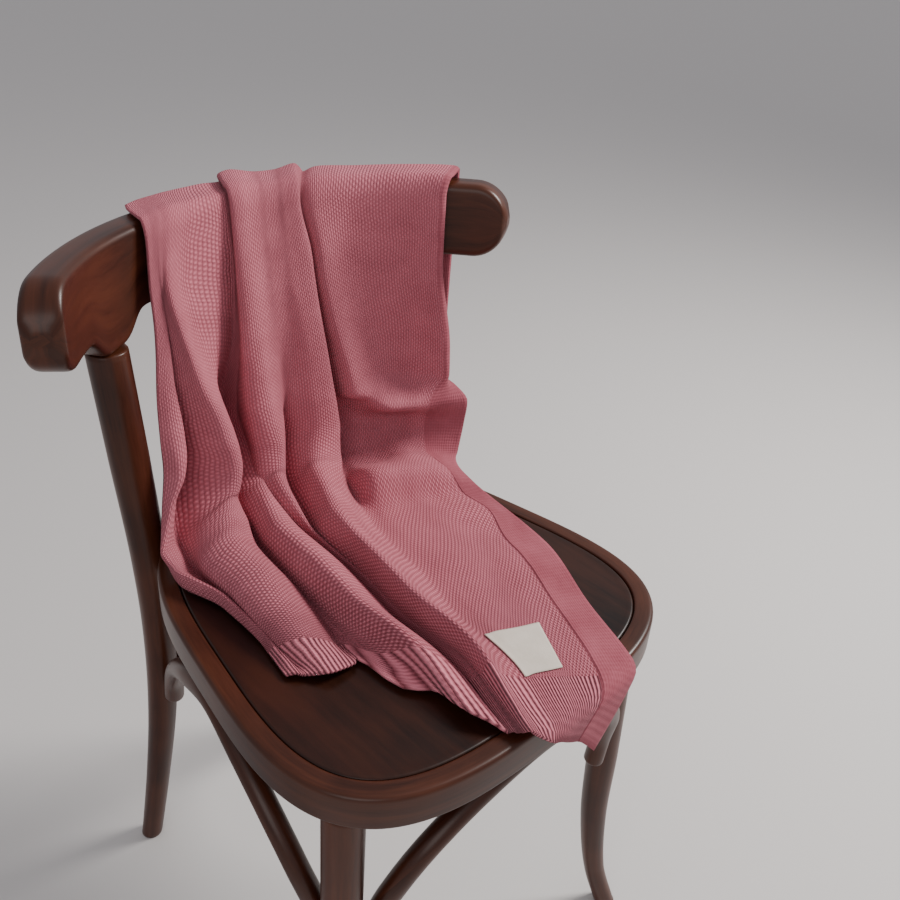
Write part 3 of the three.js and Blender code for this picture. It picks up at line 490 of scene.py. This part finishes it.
def seat_ring(steps=240):
    edge, inward, runs = seat_outline(steps)
    low, ledge = SEAT - RING_DEEP, SEAT - PANEL_DEEP - 1
    corners = [(0, low), (0, SEAT), (LIP, SEAT), (LIP, ledge), (RING_WIDE, ledge), (RING_WIDE, low)]
    radii = [3, 5, 2.2, .6, 2, 3]
    profile = rounded(corners, radii, 8)
    rings = [np.column_stack([edge[k] + inward[k] * profile[:, :1], profile[:, 1]]) for k in range(steps)]
    return loft("ring_wood", rings, runs, closed_run=True)


def seat_panel(steps=240):
    """Panel with a rounded edge and a middle that is a little lower"""
    edge, inward, runs = seat_outline(steps)
    gap, round_wide, round_high, dip, dip_wide = .5, 2.6, 2.5, .5, 16
    inset, shoulder = LIP + gap, SEAT - dip - round_high
    rows = [(inset, SEAT - PANEL_DEEP - .7), (inset, shoulder)]
    rows += [(inset + round_wide * (1 - math.cos(a)), shoulder + round_high * math.sin(a))
             for a in np.linspace(.3, math.pi / 2, 6)]
    rows += [(inset + k, SEAT - dip - dip * math.sin(min(k, dip_wide) / dip_wide * math.pi / 2))
             for k in (6, 10, 16, 24)]
    rings = [np.column_stack([edge + inward * d, np.full(steps, z)]) for d, z in rows]
    return loft("panel_wood", rings, [r[0] for r in rows])


# Front leg: height, how far it stands out along the seat's diagonal, radius
FRONT_LEG_X, FRONT_LEG_Y = 174.8, -162.2
FRONT_LEG = [(0, 37, 11.5), (61, 17, 11.5), (150, 4, 14), (245, 0, 16), (340, -4.5, 17),
             (SEAT - RING_DEEP - .3, -9, 17.3)]
# Rear leg of the right side: x, y, height, radius
REAR_LEG = [(149, 236, 0, 12), (138, 221, 110, 13.5), (130, 206, 225, 15.5), (130, 192, 345, 16.5),
            (136.9, 181.6, 450, 17), (146, 178, 560, 18),
            (155.5, 175.4, RAIL_TOP - RAIL_DEEP - SHOULDER_DEEP - .3, 18)]
# Braces: radius and top, then x, y, height for the right one and for the left halves of the other two
BRACE = 10
BRACE_TOP = SEAT - RING_DEEP - BRACE - .8
SIDE_BRACE = [(176, -134, 262), (178, -133, 296), (185, -119, 335), (188, -88, 374), (186, -48, 402),
              (180, 2, BRACE_TOP + .7), (171, 52, 406), (159, 94, 378), (146, 131, 342), (136, 158, 304),
              (131, 172, 268)]
FRONT_BRACE = [(-146, -170, 262), (-146, -173, 298), (-134, -184, 342), (-108, -193, 378), (-62, -199, 405),
               (0, -203, BRACE_TOP)]
REAR_BRACE = [(-103, 206, 262), (-101, 203, 296), (-90, 196, 340), (-66, 189, 380), (-34, 184, 408),
              (0, 181, BRACE_TOP)]


def leg(name, rows):
    steps, sides = ((110, 28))
    return round_bar(name, rows, steps, sides, True)


def brace(name, rows):
    steps, sides = ((110, 28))
    return round_bar(name, [row + (BRACE,) for row in rows], steps, sides, False)


def mirrored(rows):
    return rows + [(-x, y, z) for x, y, z in rows[-2::-1]]


def chair_pieces():
    """Smooth round pieces of the same sizes as the solids, by the names of the nodes they replace"""
    pieces = {"seat_ring": seat_ring(), "seat_panel": seat_panel(), "back_rail": back_rail()}
    out = math.sqrt(.5)
    for side, k in (("left", -1), ("right", 1)):
        front = [(k * (FRONT_LEG_X + f * out), FRONT_LEG_Y - f * out, z, r) for z, f, r in FRONT_LEG]
        rear = [(k * x, y, z, r) for x, y, z, r in REAR_LEG]
        pieces["front_leg_" + side] = leg("front_leg_wood_" + side, front)
        pieces["rear_leg_" + side] = leg("rear_leg_wood_" + side, rear)
        pieces["brace_" + side] = brace("brace_wood_" + side, [(k * x, y, z) for x, y, z in SIDE_BRACE])
    pieces["brace_front"] = brace("brace_wood_front", mirrored(FRONT_BRACE))
    pieces["brace_rear"] = brace("brace_wood_rear", mirrored(REAR_BRACE))
    return pieces


# Materials
class Nodes:
    """Short calls that build the nodes of one material"""

    def __init__(self, name):
        self.mat = bpy.data.materials.new(name)
        self.mat.use_nodes = True
        self.tree = self.mat.node_tree
        self.shader = self.tree.nodes["Principled BSDF"]

    def add(self, kind, **values):
        node = self.tree.nodes.new(kind)
        for key, value in values.items():
            if key[0] == "_":
                setattr(node, key[1:], value)
            else:
                node.inputs[key.replace("_", " ")].default_value = value
        return node

    def link(self, a, b):
        self.tree.links.new(a, b)

    def math(self, op, *terms, clamp=False):
        node = self.tree.nodes.new("ShaderNodeMath")
        node.operation = op
        node.use_clamp = clamp
        for k, term in enumerate(terms):
            if isinstance(term, (int, float)):
                node.inputs[k].default_value = term
            else:
                self.link(term, node.inputs[k])
        return node.outputs[0]

    def plus(self, a, b, clamp=False):
        return self.math("ADD", a, b, clamp=clamp)

    def minus(self, a, b, clamp=False):
        return self.math("SUBTRACT", a, b, clamp=clamp)

    def times(self, a, b, clamp=False):
        return self.math("MULTIPLY", a, b, clamp=clamp)

    def wave(self, x, period):
        return self.math("SINE", self.times(x, 2 * math.pi / period))

    def spread(self, noise, size):
        """Noise of a given size both ways about zero"""
        return self.times(self.minus(noise, .5), size)

    def uv(self, layer):
        return self.add("ShaderNodeUVMap", _uv_map=layer).outputs[0]

    def object_place(self):
        return self.add("ShaderNodeTexCoord").outputs["Object"]

    def split(self, vector):
        node = self.add("ShaderNodeSeparateXYZ")
        self.link(vector, node.inputs[0])
        return node.outputs

    def noise(self, vector, scale, detail=2.0, rough=.5, distortion=0.0):
        node = self.add("ShaderNodeTexNoise", Scale=scale, Detail=detail, Roughness=rough,
                        Distortion=distortion)
        self.link(vector, node.inputs["Vector"])
        return node.outputs[0]

    def color(self, share, dark, light):
        node = self.tree.nodes.new("ShaderNodeMix")
        node.data_type = "RGBA"
        self.link(share, node.inputs[0])
        node.inputs[6].default_value = dark
        node.inputs[7].default_value = light
        self.link(node.outputs[2], self.shader.inputs["Base Color"])

    def bump(self, height, strength, distance):
        node = self.add("ShaderNodeBump", Strength=strength, Distance=distance)
        self.link(height, node.inputs["Height"])
        self.link(node.outputs[0], self.shader.inputs["Normal"])

    def set(self, **values):
        for key, value in values.items():
            self.shader.inputs[key.replace("_", " ")].default_value = value


def knit_material(name, lit, shaded):
    """Pearl knitting in the body, ribs at both hems and a fine side band, from the stitch UVs; its colour
    paints light on the stitches' tops and shade in their hollows and in the seam's groove
    """
    purl_wide, purl_tall, rib_wide, rib_tall, band_wide, band_tall = 2.3, 4.2, 5.6, 3.6, 2.6, 3.2
    front_hem, deeper_left, back_hem, bumps_from, groove_from = 32, 20, 34, 560, 640
    n = Nodes(name)
    uv = n.uv("stitch")
    u, v, _ = n.split(uv)
    u = n.plus(u, n.spread(n.noise(uv, .05, 3), 3))

    # Columns show everywhere, and purl bumps stand out more on the seat than on the rail, in relief and in
    # the painted shade of the colour
    columns = n.wave(u, 2 * purl_wide)
    on_seat = n.times(n.minus(v, bumps_from), .004, clamp=True)
    bumps = n.times(n.times(columns, n.wave(v, purl_tall)), n.plus(.3, n.times(on_seat, .7)))
    body = n.plus(bumps, n.times(n.math("ABSOLUTE", columns), .6))
    ribs = n.times(n.math("ABSOLUTE", n.wave(u, 2 * rib_wide)), 3.2)
    ribs = n.plus(ribs, n.times(n.wave(v, rib_tall), .25))
    band = n.times(n.plus(n.wave(u, band_wide), n.wave(v, band_tall)), .09)

    # The front hem's ribs are deeper toward the left
    left = n.minus(1, n.times(u, .005), clamp=True)
    at_front = n.math("GREATER_THAN", n.plus(v, n.times(left, deeper_left)), END - front_hem)
    at_hem = n.math("MAXIMUM", at_front, n.math("LESS_THAN", v, back_hem))
    at_band = n.math("GREATER_THAN", u, SEAM)

    def choose(inside, hem, side):
        part = n.plus(n.times(inside, n.minus(1, at_hem)), n.times(hem, at_hem))
        return n.plus(n.times(part, n.minus(1, at_band)), n.times(side, at_band))

    # Groove along the band's seam, in relief and as painted shade in the colour
    groove_and_shade = n.math("MINIMUM", n.minus(n.math("ABSOLUTE", n.minus(u, SEAM)), 3), 0)
    groove_and_shade = n.times(groove_and_shade, n.times(n.math("GREATER_THAN", v, groove_from), .5))
    n.bump(n.plus(choose(body, ribs, band), groove_and_shade), 1.0, .001)

    # Painted light and shade: the stitches, ribs and band colour the yarn lighter on their tops and darker
    # in their hollows
    share = choose(n.plus(n.times(body, .62), .3), n.times(ribs, .36), n.plus(n.times(band, .3), .22))
    worn = n.spread(n.noise(uv, .03, 4, .65), .5)
    yarn = n.spread(n.noise(uv, .9, 2, .6), .35)
    share = n.plus(share, n.plus(worn, yarn))
    # Painted shade: the colour is darkened in the seam's groove
    n.color(n.plus(share, n.times(groove_and_shade, .15), clamp=True), shaded, lit)
    n.set(Roughness=.95, Specular_IOR_Level=.15)
    n.set(Sheen_Weight=.06, Sheen_Roughness=.5, Sheen_Tint=(.9, .6, .65, 1))
    return n.mat


def wood_material(name, dark, light, bent):
    """Stained beech under a satin varnish, with the grain along a bent piece or along the panel"""
    n = Nodes(name)
    if bent:
        where, stretch, cloud_scale = n.uv("grain"), (.004, .06, 1), .012
    else:
        where, stretch, cloud_scale = n.object_place(), (16, 1.6, 16), 12
    grain = n.add("ShaderNodeMapping", Scale=stretch)
    n.link(where, grain.inputs["Vector"])
    streaks = n.noise(grain.outputs[0], 1.0, 4, .6, .5)
    pores = n.noise(grain.outputs[0], 7.0, 6, .7)
    cloud = n.noise(where, cloud_scale, 2)
    share = n.plus(n.plus(n.spread(streaks, 1.8), n.spread(pores, .9)), n.spread(cloud, 1.2))
    n.color(n.plus(share, .5, clamp=True), dark, light)
    n.link(n.plus(n.times(pores, .14), .29), n.shader.inputs["Roughness"])
    n.set(Specular_IOR_Level=.3, Coat_Weight=.06, Coat_Roughness=.2)
    n.bump(pores, .2, .0003)
    return n.mat


def label_material(name, light, shade):
    """Plain woven cotton: fine threads both ways, with soft creases, whose relief is also painted into the
    colour as light and shade
    """
    radians_per_metre = 7000
    n = Nodes(name)
    where = n.object_place()
    x, y, _ = n.split(where)
    threads = n.times(n.math("SINE", n.times(x, radians_per_metre)),
                      n.math("SINE", n.times(y, radians_per_metre)))
    crease_and_shade = n.noise(where, 60, 3)
    # Painted shade: the threads and creases also darken and lighten the colour along with their relief
    n.color(n.plus(n.times(threads, .2), crease_and_shade, clamp=True), shade, light)
    n.bump(n.plus(n.times(threads, .25), n.times(crease_and_shade, 2)), .6, .0006)
    n.set(Roughness=.9)
    return n.mat


def plain_material(name, color, rough):
    n = Nodes(name)
    n.set(Base_Color=color, Roughness=rough)
    return n.mat


blanket = blanket_sheet()
label = label_patch()
bent = wood_material("bent_wood", (.021, .005, .0022, 1), (.082, .022, .009, 1), True)
panel = wood_material("panel_wood", (.004, .0012, .0006, 1), (.036, .0085, .003, 1), False)
pieces = chair_pieces()
for node, piece in pieces.items():
    piece.data.materials.append(panel if node == "seat_panel" else bent)
    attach(piece, "root")
    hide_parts(node)

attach(blanket, "root")
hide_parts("blanket")
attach(label, "root")
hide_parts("label")

# Floor, light and camera
bpy.ops.mesh.primitive_plane_add(size=60, location=(0, 0, 0))
floor = bpy.context.object
floor.name = "floor"
floor.data.materials.append(plain_material("floor_grey", (.62, .59, .575, 1), .9))

world = bpy.data.worlds.new("studio")
world.use_nodes = True
background = world.node_tree.nodes["Background"]
background.inputs["Color"].default_value = (.95, .95, 1, 1)
background.inputs["Strength"].default_value = .52
bpy.context.scene.world = world


def soft_light(name, place, target, size, power):
    data = bpy.data.lights.new(name, "AREA")
    data.shape = "DISK"
    data.size = size
    data.energy = power
    data.color = (1, .98, .95)
    lamp = bpy.data.objects.new(name, data)
    lamp.location = place
    lamp.rotation_euler = (Vector(target) - Vector(place)).to_track_quat("-Z", "Y").to_euler()
    bpy.context.scene.collection.objects.link(lamp)


soft_light("window", (1.7, -.7, 2.1), (0, -.05, .55), .8, 82)
soft_light("fill", (-1.9, -1.4, 1.5), (0, 0, .5), 1.6, 14)


def photo_camera():
    """Camera at the photo's place and angle, whose picture has its middle a little left of the frame's"""
    place = np.array([-470.0, -522.1, 1020.4])
    yaw, pitch, roll = .773, .537, .055
    frame_pixels, focal_pixels, middle_pixel, sensor = 900, 961.1, 417.5, 36
    look = Vector((math.sin(yaw) * math.cos(pitch), math.cos(yaw) * math.cos(pitch), -math.sin(pitch)))
    side = Vector((math.cos(yaw), -math.sin(yaw), 0))
    up = side.cross(look)
    right = math.cos(roll) * side + math.sin(roll) * up
    top = -math.sin(roll) * side + math.cos(roll) * up
    data = bpy.data.cameras.new("camera")
    data.sensor_width = sensor
    data.lens = sensor * focal_pixels / frame_pixels
    data.shift_x = (frame_pixels / 2 - middle_pixel) / frame_pixels
    data.clip_end = 100
    camera = bpy.data.objects.new("camera", data)
    turn = Matrix((right, top, -look)).transposed().to_4x4()
    camera.matrix_world = Matrix.Translation(to_metres(place)) @ turn
    bpy.context.scene.collection.objects.link(camera)
    return camera


bpy.context.scene.camera = photo_camera()
